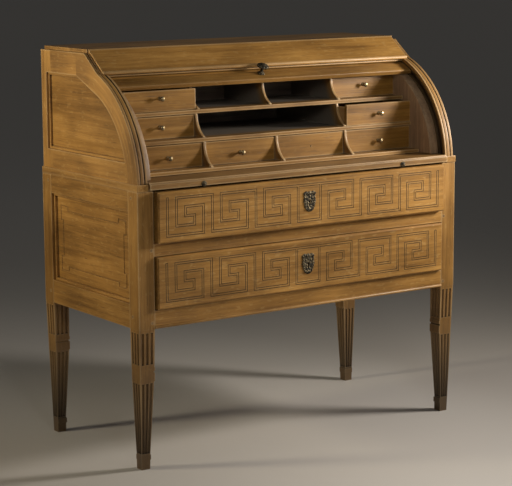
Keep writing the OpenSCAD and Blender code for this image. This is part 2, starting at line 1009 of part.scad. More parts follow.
// Divider in a tier, with a hollow nose from the shelf under it back to the shelf over it
module divider(x, i) {
    y0 = tier_front[i] + 2;
    y1 = tier_front[i + 1] + 2;
    run = y1 - y0;
    h = tier_h[i] - divider_toe;
    r = (run * run + h * h) / (2 * run);
    along_x(x - divider_t / 2, x + divider_t / 2)
        difference() {
            translate([y0, tier_z[i]])
                square([tier_back[i] - y0, tier_h[i]]);
            translate([y1 - r, tier_z[i] + tier_h[i]])
                circle(r = r, $fn = 120);
        }
}

// Middle of a divider in X: the top tier's are centred, the lower tiers' stand a little to the left
function divider_mid(i, n) = (n - 1) * divider_x - (i < 2 ? divider_shift : 0);

module gallery_dividers() {
    color(pale_oak)
        seated()
            for (i = [0 : 2], n = (i == 1) ? [0, 2] : [0, 1, 2])
                divider(divider_mid(i, n), i);
}

// ---- Roll ----

// Turns a shape drawn at the top of the circle to an angle up from the front
module at_angle(a) {
    on_axis()
        rotate(90 - a)
            children();
}

// Ring sector between two angles up from the front
module sector(r0, r1, a0, a1) {
    far = 2 * r1;
    on_axis()
        difference() {
            intersection() {
                circle(r = r1, $fn = 180);
                polygon([
                    [0, 0], [-far * cos(a0), far * sin(a0)],
                    [-far * cos((a0 + a1) / 2), far * sin((a0 + a1) / 2)],
                    [-far * cos(a1), far * sin(a1)]
                ]);
            }
            circle(r = r0, $fn = 180);
        }
}

module roll_rail() {
    a0 = roll_open;
    a1 = roll_open + roll_rail_a;
    color(oak)
        seated()
            along_x(-roll_half, roll_half)
                sector(roll_in_r, roll_out_r, a0, a1);
}

module roll_slats() {
    w = slat_pitch * slat_fill;
    r0 = roll_in_r + canvas_t + seat;
    half = r0 * sin(w / 2);
    color(oak)
        seated()
            for (i = [0 : slat_n - 1])
                along_x(-roll_half, roll_half)
                    at_angle(roll_open + roll_rail_a + slat_pitch * (i + 0.5))
                        intersection() {
                            translate([-half, r0 * cos(w / 2)])
                                square([2 * half, roll_out_r - r0]);
                            translate([0, roll_out_r - slat_round])
                                circle(r = slat_round);
                        }
}

module roll_canvas() {
    a0 = roll_open + roll_rail_a + canvas_gap;
    a1 = roll_open + roll_span - 2 * canvas_gap;
    color(linen)
        seated()
            along_x(-cheek_in + canvas_inset, cheek_in - canvas_inset)
                sector(roll_in_r, roll_in_r + canvas_t, a0, a1);
}

// Knob turned along Z, with its seat at the origin
module turned_knob(r, l) {
    cylinder(r = r * 0.85, h = l * 0.1);
    cylinder(r = r * 0.35, h = l * 0.7);
    translate([0, 0, l * 0.62])
        cylinder(r1 = r * 0.5, r2 = r, h = l * 0.16);
    translate([0, 0, l * 0.78])
        cylinder(r1 = r, r2 = r * 0.7, h = l * 0.22);
}

module roll_knob() {
    color(old_brass)
        seated()
            translate([-roll_knob_left, axis_y, axis_z])
                rotate([90 - roll_knob_turn, 0, 0])
                    translate([0, 0, roll_out_r + seat])
                        turned_knob(roll_knob_r, roll_knob_l);
}

// ---- Writing board ----

module writing_board() {
    x = cheek_in - slide_clear;
    y0 = -slide_proud;
    color(oak)
        seated()
            difference() {
                union() {
                    board([-x, y0 + slide_lip, slide_z], [x, y0 + slide_d, slide_top]);
                    board([-x, y0, slide_z], [x, y0 + slide_lip, slide_top - slide_lip]);
                }
                // Mortise for the upper drawer's bolt, long enough for the drawer ajar
                bolt_mortise(slide_z, upper_ajar);
            }
}

module writing_board_pulls() {
    color(old_brass)
        seated()
            both_sides()
                translate([-pull_x, -slide_proud - seat, slide_z + pull_z])
                    rotate([90, 0, 0])
                        turned_knob(pull_r, knob_l);
}

// ---- Long drawers ----

// Points of one key figure's scored line, in steps across and down
key_turns = [[0, 0], [0, 4], [4, 4], [4, 1], [2, 1], [2, 2], [3, 2], [3, 3], [1, 3], [1, 0], [5, 0]];
bolt_in = front_t - lock_t / 2 - bolt_t / 2; // bolt's front face behind the drawer's face
bolt_y = bolt_in - front_proud; // the same when its drawer is closed

// Mortise for a bolt in the wood whose underside is at a height, for a drawer ajar by up to an amount
module bolt_mortise(z, ajar) {
    c = bolt_clear;
    board(
        [-bolt_w / 2 - c, bolt_y - ajar - c, z - 1],
        [bolt_w / 2 + c, bolt_y + bolt_t + c, z + bolt_travel + c]
    );
}

// Key pattern of one line's width around a centre, drawn in X and Z
module key_pattern(w) {
    reach = key_frame + 5 * key_count * key_u;
    for (side = [-1, 1])
        score([
            for (k = [0 : key_count - 1], p = key_turns)
                [side * (-reach + (5 * k + p.x) * key_u), (2 - p.y) * key_v]
        ], w);
    f = [key_frame, 2 * key_v];
    score([-f, [-f.x, f.y], f, [f.x, -f.y], -f], w);
}

// Front board with its outer edges chamfered, its outer face at Y = 0
module front_board(h) {
    x = front_w / 2;
    c = front_chamfer;
    difference() {
        intersection() {
            linear_extrude(h)
                polygon([[-x + c, 0], [x - c, 0], [x, c], [x, front_t], [-x, front_t], [-x, c]]);
            along_x(-x, x)
                polygon([[0, c], [c, 0], [front_t, 0], [front_t, h], [c, h], [0, h - c]]);
        }
        along_y(-1, score_d)
            translate([0, h / 2])
                difference() {
                    key_pattern(key_line);
                    key_pattern(key_ridge);
                }
        // Pocket for the lock, open at the top
        board([-lock_w / 2 - seat, front_t - lock_t, h - lock_h - seat], [lock_w / 2 + seat, front_t + 1, h + 1]);
        keyhole_cut(h);
    }
}

module keyhole_cut(h) {
    z = keyhole_z(h);
    translate([0, -1, z])
        rotate([-90, 0, 0])
            cylinder(r = keyhole_r, h = front_t + 2);
    board([-keyhole_w / 2, -1, z - keyhole_l], [keyhole_w / 2, front_t + 1, z]);
}

function keyhole_z(h) = h / 2 + keyhole_up;

// Box behind a drawer front: two sides, a back and a bottom
module drawer_box(h) {
    x = box_w / 2;
    t = drawer_side_t;
    y0 = front_t;
    y1 = front_t + drawer_box_d;
    z1 = h - box_drop;
    bottom = box_foot + bottom_up;
    for (s = [-x, x - t])
        board([s, y0, box_foot], [s + t, y1, z1]);
    board([-x + t, y1 - t, bottom + drawer_bottom_t], [x - t, y1, z1 - box_drop / 2]);
    board([-x + t, y0, bottom], [x - t, y1, bottom + drawer_bottom_t]);
}

module drawer_lock(h) {
    w = bolt_w / 2 + seat;
    top = h - lock_drop;
    difference() {
        board([-lock_w / 2, front_t - lock_t + seat, h - lock_h], [lock_w / 2, front_t, top]);
        // Way for the bolt, open at the top
        board([-w, bolt_in - seat, top - bolt_l - seat], [w, bolt_in + bolt_t + seat, h]);
        keyhole_cut(h);
    }
}

module drawer_bolt(h) {
    top = h - lock_drop;
    board([-bolt_w / 2, bolt_in, top - bolt_l], [bolt_w / 2, bolt_in + bolt_t, top]);
}

// Pierced brass plate, wider at its top, with scrolled edges
module escutcheon(h) {
    w = plate_w / 2;
    v = plate_h / 2;
    along_y(-plate_t, -plate_gap)
        translate([0, keyhole_z(h)])
            difference() {
                union() {
                    scrolls(w, v);
                    circle(r = w * 0.45);
                    translate([0, -v * 0.4]) circle(r = w * 0.3);
                    square([w * 1.5, bar_w], center = true);
                    square([bar_w, v * 1.7], center = true);
                }
                circle(r = keyhole_r);
                translate([0, -keyhole_l / 2]) square([keyhole_w, keyhole_l], center = true);
            }
}

// Pierced discs along an egg-shaped line
module scrolls(w, v) {
    for (i = [0 : scroll_n - 1]) {
        a = 360 / scroll_n * (i + 0.5);
        x = (w - scroll_r) * sin(a) * (1 + 0.2 * cos(a));
        translate([x, (v - scroll_r) * cos(a)])
            difference() {
                circle(r = scroll_r, $fn = 32);
                circle(r = scroll_r / 3, $fn = 24);
            }
    }
}

// Puts a long drawer's pieces where its front starts at a height
module long_drawer(z, ajar) {
    translate([0, -front_proud - ajar, z + drawer_gap])
        children();
}

module at_upper() {
    seated() long_drawer(upper_low, upper_ajar) children();
}

module at_lower() {
    seated() long_drawer(opening_low, 0) children();
}

module upper_drawer_front() {
    color(oak) at_upper() front_board(upper_drawer_h);
}

module upper_drawer_box() {
    color(pale_oak) at_upper() drawer_box(upper_drawer_h);
}

module upper_drawer_lock() {
    color(brass) at_upper() drawer_lock(upper_drawer_h);
}

module upper_drawer_escutcheon() {
    color(old_brass) at_upper() escutcheon(upper_drawer_h);
}

module upper_drawer_bolt() {
    color(brass) at_upper() drawer_bolt(upper_drawer_h);
}

module lower_drawer_front() {
    color(oak) at_lower() front_board(low_drawer_h);
}

module lower_drawer_box() {
    color(pale_oak) at_lower() drawer_box(low_drawer_h);
}

module lower_drawer_lock() {
    color(brass) at_lower() drawer_lock(low_drawer_h);
}

module lower_drawer_escutcheon() {
    color(old_brass) at_lower() escutcheon(low_drawer_h);
}

module lower_drawer_bolt() {
    color(brass) at_lower() drawer_bolt(low_drawer_h);
}

// ---- Small drawers ----

// Edges in X of a tier's cell, counted from the left
function cell(i, n) = [
    n == 0 ? -gal_in : divider_mid(i, n - 1) + divider_t / 2,
    n == 3 ? gal_in : divider_mid(i, n) - divider_t / 2
];
// Knobs' heights over the middle of their drawers, from the bottom tier up
knob_lift = [-4, 0, 6];

function face_y(i, ajar) = tier_front[i + 1] + face_set - ajar;

// Small drawer in cell n of tier i, drawn out by ajar
module small_drawer(i, n, ajar = 0) {
    t = small_side_t;
    x0 = cell(i, n)[0] + small_gap;
    x1 = cell(i, n)[1] - small_gap;
    y0 = face_y(i, ajar);
    y1 = tier_back[i] - ajar - small_back_gap;
    z0 = tier_z[i] + seat;
    z1 = tier_z[i] + tier_h[i] - small_top_gap;
    difference() {
        board([x0, y0, z0], [x1, y1, z1]);
        board([x0 + t, y0 + small_front_t, z0 + t], [x1 - t, y1 - t, z1 + 1]);
        board([x0 - 1, y0 + small_front_t, z1 - small_step], [x1 + 1, y1 + 1, z1 + 1]);
    }
}

// Middle of a small drawer's face
function face_mid(i, n, ajar) =
    [(cell(i, n)[0] + cell(i, n)[1]) / 2, face_y(i, ajar), tier_z[i] + tier_h[i] / 2 + knob_lift[i]];

module small_knob(i, n, ajar = 0) {
    translate(face_mid(i, n, ajar) - [0, seat, 0])
        rotate([90, 0, 0])
            turned_knob(knob_r, knob_l);
}

module drawer_top_left() {
    color(pale_oak) seated() small_drawer(2, 0, left_ajar);
}

module drawer_middle_left() {
    color(pale_oak) seated() small_drawer(1, 0);
}

module drawer_bottom_left() {
    color(pale_oak) seated() small_drawer(0, 0);
}

module drawer_bottom_centre_left() {
    color(pale_oak) seated() small_drawer(0, 1);
}

// This drawer has lost its knob and keeps the hole
module drawer_bottom_centre_right() {
    color(pale_oak)
        seated()
            difference() {
                small_drawer(0, 2);
                translate(face_mid(0, 2, 0) - [0, 1, 0])
                    rotate([-90, 0, 0])
                        cylinder(r = knob_hole_r, h = small_front_t + 2);
            }
}

module drawer_top_right() {
    color(pale_oak) seated() small_drawer(2, 3);
}

module drawer_middle_right() {
    color(pale_oak) seated() small_drawer(1, 3, right_ajar);
}

module drawer_bottom_right() {
    color(pale_oak) seated() small_drawer(0, 3);
}

module knob_top_left() {
    color(brass) seated() small_knob(2, 0, left_ajar);
}

module knob_middle_left() {
    color(brass) seated() small_knob(1, 0);
}

module knob_bottom_left() {
    color(brass) seated() small_knob(0, 0);
}

module knob_bottom_centre_left() {
    color(brass) seated() small_knob(0, 1);
}

module knob_top_right() {
    color(brass) seated() small_knob(2, 3);
}

module knob_middle_right() {
    color(brass) seated() small_knob(1, 3, right_ajar);
}

module knob_bottom_right() {
    color(brass) seated() small_knob(0, 3);
}

post_front_left();
post_front_right();
post_back_left();
post_back_right();
side_rails();
side_panel_left();
side_panel_right();
front_rail_bottom();
front_rail_middle();
drawer_runners();
dust_boards();
back_boards();
desk_bed();
waist_mouldings();
joint_pegs();
cheek_left();
cheek_right();
cheek_panel_left();
cheek_panel_right();
top_board();
slope_board();
gallery_base();
gallery_shelf_lower();
gallery_shelf_upper();
gallery_top();
gallery_sides();
gallery_backs();
gallery_dividers();
roll_rail();
roll_slats();
roll_canvas();
roll_knob();
writing_board();
writing_board_pulls();
upper_drawer_front();
upper_drawer_box();
upper_drawer_lock();
upper_drawer_escutcheon();
upper_drawer_bolt();
lower_drawer_front();
lower_drawer_box();
lower_drawer_lock();
lower_drawer_escutcheon();
lower_drawer_bolt();
drawer_top_left();
drawer_middle_left();
drawer_bottom_left();
drawer_bottom_centre_left();
drawer_bottom_centre_right();
drawer_top_right();
drawer_middle_right();
drawer_bottom_right();
knob_top_left();
knob_middle_left();
knob_bottom_left();
knob_bottom_centre_left();
knob_top_right();
knob_middle_right();
knob_bottom_right();
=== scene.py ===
import json
import math

import bmesh
import bpy
from mathutils import Matrix, Vector


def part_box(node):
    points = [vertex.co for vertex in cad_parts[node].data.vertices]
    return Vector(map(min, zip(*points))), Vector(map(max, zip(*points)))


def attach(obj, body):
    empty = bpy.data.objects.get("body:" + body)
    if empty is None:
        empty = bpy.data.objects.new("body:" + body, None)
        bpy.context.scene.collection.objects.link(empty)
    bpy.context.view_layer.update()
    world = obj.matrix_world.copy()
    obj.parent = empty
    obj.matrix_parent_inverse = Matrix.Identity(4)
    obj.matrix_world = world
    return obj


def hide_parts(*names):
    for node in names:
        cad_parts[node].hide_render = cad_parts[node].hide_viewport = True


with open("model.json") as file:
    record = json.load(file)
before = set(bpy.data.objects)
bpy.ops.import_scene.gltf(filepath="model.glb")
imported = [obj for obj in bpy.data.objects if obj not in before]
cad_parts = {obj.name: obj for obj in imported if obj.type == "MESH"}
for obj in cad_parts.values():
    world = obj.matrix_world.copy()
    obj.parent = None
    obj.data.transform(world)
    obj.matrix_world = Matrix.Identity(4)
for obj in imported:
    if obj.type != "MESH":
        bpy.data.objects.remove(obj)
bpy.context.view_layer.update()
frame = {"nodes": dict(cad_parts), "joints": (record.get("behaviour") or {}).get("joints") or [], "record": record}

nodes = frame["nodes"]
bodyOf = {
    name: body
    for body, names in frame["record"]["behaviour"]["bodies"].items()
    for name in names
}
print("frame loaded", len(nodes), "solids")


def boxOf(name):
    # lowest and highest corner of a solid
    low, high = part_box(name)
    return Vector(low), Vector(high)


cameraPlace = {
    "spot": (-2.9494, -4.27815, 1.4182),
    "turn": 0.604,  # to the right of straight ahead, in radians
    "dip": 0.168,  # below the horizon
    "tilt": -0.006,
    "lens": 126.57,
    "sensorWidth": 36,
    "farthest": 200,
}


def placeCamera(place):
    turn = place["turn"]
    dip = place["dip"]
    ahead = Vector((
        math.sin(turn) * math.cos(dip),
        math.cos(turn) * math.cos(dip),
        -math.sin(dip),
    ))
    right = ahead.cross(Vector((0, 0, 1))).normalized()
    up = right.cross(ahead)
    cos = math.cos(place["tilt"])
    sin = math.sin(place["tilt"])
    rolledRight = right * cos + up * sin
    rolledUp = up * cos - right * sin
    data = bpy.data.cameras.new("deskCamera")
    data.lens = place["lens"]
    data.sensor_width = place["sensorWidth"]
    data.sensor_fit = "HORIZONTAL"
    data.clip_end = place["farthest"]
    camera = bpy.data.objects.new("deskCamera", data)
    bpy.context.scene.collection.objects.link(camera)
    matrix = Matrix((rolledRight, rolledUp, -ahead)).transposed().to_4x4()
    matrix.translation = Vector(place["spot"])
    camera.matrix_world = matrix
    bpy.context.scene.camera = camera


placeCamera(cameraPlace)
print("camera placed")


class Shader:
    # a new material; node() makes any node and hands back one of its outputs
    def __init__(self, name):
        self.material = bpy.data.materials.new(name)
        self.material.use_nodes = True
        self.tree = self.material.node_tree
        self.tree.nodes.clear()

    def node(self, kind, settings=None, values=None, output=0):
        node = self.tree.nodes.new(kind)
        for name, value in (settings or {}).items():
            if name == "stops":
                ramp = node.color_ramp
                while len(ramp.elements) < len(value):
                    ramp.elements.new(0.5)
                for element, (place, colour) in zip(ramp.elements, value):
                    element.position = place
                    element.color = (*colour, 1)
            else:
                setattr(node, name, value)
        for name, value in (values or {}).items():
            socket = node.inputs[name]
            if isinstance(value, Wire):
                self.tree.links.new(value.socket, socket)
            elif isinstance(value, tuple) and socket.type == "RGBA":
                socket.default_value = (*value, 1)
            else:
                socket.default_value = value
        return None if output is None else Wire(self, node.outputs[output])

    def own(self):
        # the piece's own coordinates, in metres
        return self.node("ShaderNodeTexCoord", output="Object")

    def coordinates(self, spread, laid=None):
        # shifted so that no two pieces share one board; chance differs from piece to piece
        place = laid(self, self.own()) if laid else self.own()
        chance = self.node("ShaderNodeObjectInfo", output="Random")
        shift = self.node(
            "ShaderNodeVectorMath", {"operation": "SCALE"},
            {0: (1.0, 0.7, 0.4), "Scale": chance * spread},
        )
        return self.node("ShaderNodeVectorMath", {"operation": "ADD"}, {0: place, 1: shift}), chance

    def stretched(self, place, scale):
        return self.node("ShaderNodeMapping", None, {"Vector": place, "Scale": scale})

    def parts(self, place):
        node = self.node("ShaderNodeSeparateXYZ", None, {"Vector": place}).socket.node
        return [Wire(self, socket) for socket in node.outputs]

    def joined(self, x, y, z):
        return self.node("ShaderNodeCombineXYZ", None, {"X": x, "Y": y, "Z": z})

    def noise(self, place, detail=2.0, roughness=0.5, scale=1.0):
        return self.node("ShaderNodeTexNoise", None, {
            "Vector": place, "Scale": scale, "Detail": detail, "Roughness": roughness,
        })

    def range(self, value, low, high):
        # rises smoothly from 0 at low to 1 at high
        return self.node("ShaderNodeMapRange", {"interpolation_type": "SMOOTHSTEP"}, {
            "Value": value, "From Min": low, "From Max": high,
        })

    def openness(self, reach, inside=False):
        # 1 on an open face and less in a corner; with inside, less on an outer edge
        return self.node("ShaderNodeAmbientOcclusion", {
            "samples": 8, "only_local": True, "inside": inside,
        }, {"Distance": reach}, 1)

    def maths(self, operation, first, second=0.0):
        return self.node("ShaderNodeMath", {"operation": operation}, {0: first, 1: second})

    def blend(self, share, first, second):
        # a Mix node's sockets for colours are 6 and 7, and its output 2
        return self.node(
            "ShaderNodeMix", {"data_type": "RGBA"}, {0: share, 6: first, 7: second}, 2
        )

    def bump(self, height, distance, strength=1.0):
        return self.node("ShaderNodeBump", None, {
            "Height": height, "Distance": distance, "Strength": strength,
        })

    def finish(self, **sockets):
        values = {name.replace("_", " "): value for name, value in sockets.items()}
        surface = self.node("ShaderNodeBsdfPrincipled", None, values)
        self.node("ShaderNodeOutputMaterial", None, {"Surface": surface}, None)
        return self.material


class Wire:
    # an output socket that takes part in Python's arithmetic
    def __init__(self, shader, socket):
        self.shader = shader
        self.socket = socket

    def maths(self, operation, first, second=0.0):
        return self.shader.maths(operation, first, second)

    def __add__(self, other):
        return self.maths("ADD", self, other)

    __radd__ = __add__

    def __sub__(self, other):
        return self.maths("SUBTRACT", self, other)

    def __rsub__(self, other):
        return self.maths("SUBTRACT", other, self)

    def __mul__(self, other):
        return self.maths("MULTIPLY", self, other)

    __rmul__ = __mul__

    def __pow__(self, other):
        return self.maths("POWER", self, other)


# what the finishes need to know of the desk's own shape
turning = next(joint for joint in frame["joints"] if joint["name"] == "roll_turn")
rollAxis = Vector(turning["pos_m"])
cheekLow, cheekHigh = boxOf("cheek_left")
cheekArm = rollAxis.y - cheekLow.y  # from the roll's axis to the cheeks' round edge
cheekMiddle = (cheekLow.x + cheekHigh.x) / 2
galleryFoot = boxOf("gallery_base")[0]
galleryHead = boxOf("gallery_top")[0]
galleryLean = (galleryHead.y - galleryFoot.y) / (galleryHead.z - galleryFoot.z)

cheek = {
    "band": 0.054,  # width of the curved stile
    "stile": 0.055,  # width of the upright one at the back
    "lowRail": 0.072,
    "topRail": 0.062,
    "wayInner": (0.040, 0.028),  # the roll's way fades in here, measured in from the round edge
    "wayOuter": (0.006, 0.012),
}


def cheekLay(make, place):
    # grain stands in the back stile, lies in the rails and follows the curved stile round
    x, y, z = make.parts(place)
    away = y - rollAxis.y
    rise = z - rollAxis.z
    radius = (away ** 2 + rise ** 2) ** 0.5
    sweep = make.maths("ARCTAN2", rise, away) * cheekArm
    bent = make.joined(x, radius, sweep)
    lying = make.joined(x, z, y)
    rails = make.maths("GREATER_THAN", z, cheekHigh.z - cheek["topRail"])
    rails = make.maths("MAXIMUM", rails, make.maths("LESS_THAN", z, cheekLow.z + cheek["lowRail"]))
    rails = rails * make.maths("LESS_THAN", y, cheekHigh.y - cheek["stile"])
    curved = make.maths("GREATER_THAN", radius, cheekArm - cheek["band"])
    curved = curved * make.maths("LESS_THAN", y, rollAxis.y)
    return make.blend(curved, make.blend(rails, place, lying), bent)


def rollWay(make):
    # 1 along the way that the roll runs in, on the cheeks' inner faces
    x, y, z = make.parts(make.own())
    radius = ((y - rollAxis.y) ** 2 + (z - rollAxis.z) ** 2) ** 0.5
    deep, full = (cheekArm - inset for inset in cheek["wayInner"])
    rim, edge = (cheekArm - inset for inset in cheek["wayOuter"])
    way = make.range(radius, deep, full) * make.range(radius, rim, edge)
    return way * make.maths("LESS_THAN", make.maths("ABSOLUTE", x), -cheekMiddle)


oak = {
    "growth": [  # from dark to light
        (0.36, (0.196, 0.090, 0.021)),
        (0.50, (0.322, 0.156, 0.036)),
        (0.64, (0.430, 0.222, 0.058)),
    ],
    "fleck": (0.56, 0.37, 0.15),
    "pore": (0.085, 0.040, 0.013),
    # painted shade for corners, creases and the roll's way, with old wax and dust
    "shadeAndGrime": (0.026, 0.019, 0.012),
    # painted shade towards the floor
    "darkening": (0.062, 0.050, 0.036),
    # painted shade deep in the pigeonholes
    "pigeonholeShade": (0.15, 0.14, 0.125),
    # worn edges, also standing for painted highlights along them
    "rubbedShine": (0.62, 0.44, 0.23),
    "hue": 0.5035,  # 0.5 leaves the colours alone, more makes them yellower
    "spread": 9.0,  # how far apart two pieces lie in the figure
    # widths across the grain and lengths along it
    "wander": (0.09, 0.5),
    "bands": (0.012, 0.42),
    "fine": (0.0032, 0.16),
    "pores": (0.0016, 0.045),
    "clouds": (0.12, 0.22),
    "rays": (0.008, 0.02),
    "bend": 0.02,  # how far the bands wander
    "edgeReach": 0.006,
    "shadeReach": 0.007,
    "kneeHeight": 0.50,  # painted shade towards the floor starts below here
    "pigeonholeShadeDepth": (0.012, 0.05),
    "roughness": 0.44,
    "specular": 0.36,
    "coat": 0.08,
    "coatRoughness": 0.30,
    "relief": 0.0004,
}


def oakFinish(
    name, along, tone=1.0, fleck=0.2, shadeAndGrime=0.75, gloss=0.0, wearAndHighlight=0.35, darkening=0.0,
    stain=0.0, laid=None, pigeonholeShade=0.0, wayShade=0.0,
):
    # waxed oak with its grain along one of the axes; stain takes its colour towards grey
    make = Shader(name)
    place, chance = make.coordinates(oak["spread"], laid)
    axis = "xyz".index(along)

    def figure(feature, detail, roughness=0.5, source=place):
        width, length = oak[feature]
        scale = [1 / width] * 3
        scale[axis] = 1 / length
        return make.noise(make.stretched(source, tuple(scale)), detail, roughness)

    wander = make.node(
        "ShaderNodeVectorMath", {"operation": "SCALE"},
        {0: figure("wander", 2.0), "Scale": oak["bend"]},
    )
    bent = make.node("ShaderNodeVectorMath", {"operation": "ADD"}, {0: place, 1: wander})
    bands = figure("bands", 4.0, 0.62, bent)
    fine = figure("fine", 2.0, 0.6)
    pores = figure("pores", 1.0)
    clouds = figure("clouds", 3.0)
    rays = figure("rays", 1.0)
    colour = make.node("ShaderNodeValToRGB", {"stops": oak["growth"]}, {
        "Fac": bands * 0.50 + fine * 0.20 + clouds * 0.30,
    })
    colour = make.blend(make.range(rays, 0.60, 0.72) * fleck, colour, oak["fleck"])
    poreMask = make.range(pores, 0.60, 0.74) * 0.5
    colour = make.blend(poreMask, colour, oak["pore"])
    # each board a little lighter or darker than the next, and stained in clouds
    shade = (0.92 + chance * 0.16) * tone
    shade = shade * (0.86 + make.range(clouds, 0.3, 0.7) * 0.28)
    colour = make.node("ShaderNodeHueSaturation", None, {
        "Color": colour, "Value": shade, "Hue": oak["hue"], "Saturation": 1.0 - stain,
    })
    # edges lighter: wear rubbed by hands and cloths, with a painted highlight along them
    edge = make.openness(oak["edgeReach"], inside=True)
    rubbedShine = make.range(edge, 0.90, 0.55) * make.range(clouds, 0.2, 0.55) * wearAndHighlight
    colour = make.blend(rubbedShine, colour, oak["rubbedShine"])
    if pigeonholeShade:
        # painted shade: the pigeonholes are darkened behind their front edges
        x, y, z = make.parts(make.own())
        depth = y - (z - galleryFoot.z) * galleryLean - galleryFoot.y
        colour = make.blend(make.range(depth, *oak["pigeonholeShadeDepth"]) * pigeonholeShade, colour, oak["pigeonholeShade"])
    if darkening:
        # painted shade: darker towards the floor, mottled by the clouds
        height = make.parts(make.own())[2]
        low = make.range(height, oak["kneeHeight"], 0.0) * (0.6 + clouds * 0.8)
        colour = make.blend(low * darkening, colour, oak["darkening"])
    if wayShade:
        # painted shade darkens the band of the roll's way on the cheeks' inner faces
        colour = make.blend(rollWay(make) * wayShade, colour, oak["shadeAndGrime"])
    # painted shade in corners and creases, darkening them along with old wax and dust
    cornerShade = make.range(make.openness(oak["shadeReach"]), 0.86, 0.30) * shadeAndGrime
    colour = make.blend(cornerShade, colour, oak["shadeAndGrime"])
    rough = oak["roughness"] - gloss + (bands - 0.5) * 0.25 + poreMask * 0.2 + cornerShade * 0.3
    height = fine * 0.5 + bands * 0.5 - poreMask * 0.9
    return make.finish(
        Base_Color=colour, Roughness=rough, Normal=make.bump(height, oak["relief"], 0.5),
        Specular_IOR_Level=oak["specular"], Coat_Weight=oak["coat"],
        Coat_Roughness=oak["coatRoughness"],
    )


brass = {
    "bright": (0.55, 0.42, 0.22),
    "dull": (0.15, 0.115, 0.065),
    "old": (0.045, 0.043, 0.036),
    "roughness": 0.30,
    "patchScale": 220.0,
    "grainScale": 900.0,
    "relief": 0.0001,
    "cornerReach": 0.004,
}


def brassFinish(name, tarnish, age, rough=0.0):
    # yellow brass, darker where hands don't reach it; age takes it towards black
    make = Shader(name)
    place = make.coordinates(3.0)[0]
    patches = make.noise(place, 3.0, 0.6, brass["patchScale"])
    corner = make.range(make.openness(brass["cornerReach"]), 0.9, 0.4)
    dull = make.range(patches, 0.42, 0.62) * tarnish + corner * 0.6
    dull = make.range(dull + (tarnish - 0.3) * 0.8, 0.0, 0.9)
    aged = make.blend(age, brass["dull"], brass["old"])
    rubbedShine = make.blend(age * 0.8, brass["bright"], brass["dull"])
    grain = make.noise(place, 2.0, 0.5, brass["grainScale"])
    return make.finish(
        Base_Color=make.blend(dull, rubbedShine, aged),
        Roughness=brass["roughness"] + rough + dull * 0.25 + (patches - 0.5) * 0.2,
        Metallic=1.0 - dull * 0.25,
        Normal=make.bump(grain, brass["relief"], 0.3),
    )


linen = {
    "threads": 260.0,
    "shadow": (0.24, 0.20, 0.13),
    "thread": (0.42, 0.36, 0.25),
    "darkening": (0.12, 0.09, 0.05),
    "relief": 0.0003,
}


def linenFinish(name):
    # coarse linen glued behind the slats
    make = Shader(name)
    place = make.coordinates(1.0)[0]
    warp, weft = (
        make.node("ShaderNodeTexWave", {"bands_direction": way}, {
            "Vector": place, "Scale": linen["threads"],
        })
        for way in "XZ"
    )
    weave = warp * 0.5 + weft * 0.5
    colour = make.blend(make.range(weave, 0.2, 0.8), linen["shadow"], linen["thread"])
    # patches of dirt darken the linen
    darkening = make.noise(place, 3.0, 0.6, scale=9.0)
    colour = make.blend(make.range(darkening, 0.4, 0.7) * 0.5, colour, linen["darkening"])
    return make.finish(
        Base_Color=colour, Roughness=0.9, Normal=make.bump(weave, linen["relief"], 0.7)
    )


# grain's axis and tone, then what sets the finish apart
finishes = {
    "caseAlongX": oakFinish("caseAlongX", "x", 1.04, wearAndHighlight=0.35),
    "caseAlongY": oakFinish("caseAlongY", "y", 0.93, wearAndHighlight=0.2),
    "post": oakFinish("post", "z", 0.93, shadeAndGrime=1.7, wearAndHighlight=0.5, darkening=0.75),
    "cheek": oakFinish(
        "cheek", "z", 1.04, shadeAndGrime=0.9, gloss=-0.12, wearAndHighlight=0.55, laid=cheekLay, wayShade=0.85
    ),
    "panel": oakFinish("panel", "y", 1.06, shadeAndGrime=0.95, wearAndHighlight=0.1),
    "slope": oakFinish("slope", "x", 1.22, wearAndHighlight=0.4),
    "flap": oakFinish("flap", "x", 0.82, wearAndHighlight=1.0, stain=0.05),
    "drawerFront": oakFinish("drawerFront", "x", 1.16, fleck=0.25, shadeAndGrime=0.85, wearAndHighlight=0.2),
    "gallery": oakFinish("gallery", "x", 0.95, fleck=0.1, wearAndHighlight=1.1, pigeonholeShade=0.9),
    "galleryUpright": oakFinish("galleryUpright", "z", 0.95, fleck=0.1, wearAndHighlight=1.2, pigeonholeShade=0.9),
    # painted light: the gallery sides are made lighter for the light bounced onto them
    "gallerySideLit": oakFinish("gallerySideLit", "z", 1.4, fleck=0.1, stain=0.3),
    "galleryDrawer": oakFinish("galleryDrawer", "x", 0.91, fleck=0.1, stain=-0.03, wearAndHighlight=0.7),
    "roll": oakFinish("roll", "x", 0.9),
    "inside": oakFinish("inside", "x", 1.3, fleck=0.05, gloss=-0.3, stain=0.66, wearAndHighlight=0.0),
    "rear": oakFinish("rear", "z", 0.66, fleck=0.05, gloss=-0.3, stain=0.2, wearAndHighlight=0.0),
    "insideDeep": oakFinish("insideDeep", "y", 0.62, fleck=0.1, gloss=-0.25),
    "peg": oakFinish("peg", "y", 0.35, shadeAndGrime=0.3),
    "brass": brassFinish("brass", 0.5, 0.3),
    "oldBrass": brassFinish("oldBrass", 0.7, 1.0, 0.20),
    "linen": linenFinish("linen"),
}
print("finishes made", len(finishes))

smallDrawers = [name for name in nodes if name.startswith("drawer_") and name != "drawer_runners"]
smallKnobs = [name for name in nodes if name.startswith("knob_")]
posts = ["post_front_left", "post_front_right", "post_back_left", "post_back_right"]
cheeks = ["cheek_left", "cheek_right"]
panels = ["side_panel_left", "side_panel_right", "cheek_panel_left", "cheek_panel_right"]
shelves = ["gallery_base", "gallery_shelf_lower", "gallery_shelf_upper", "gallery_top"]

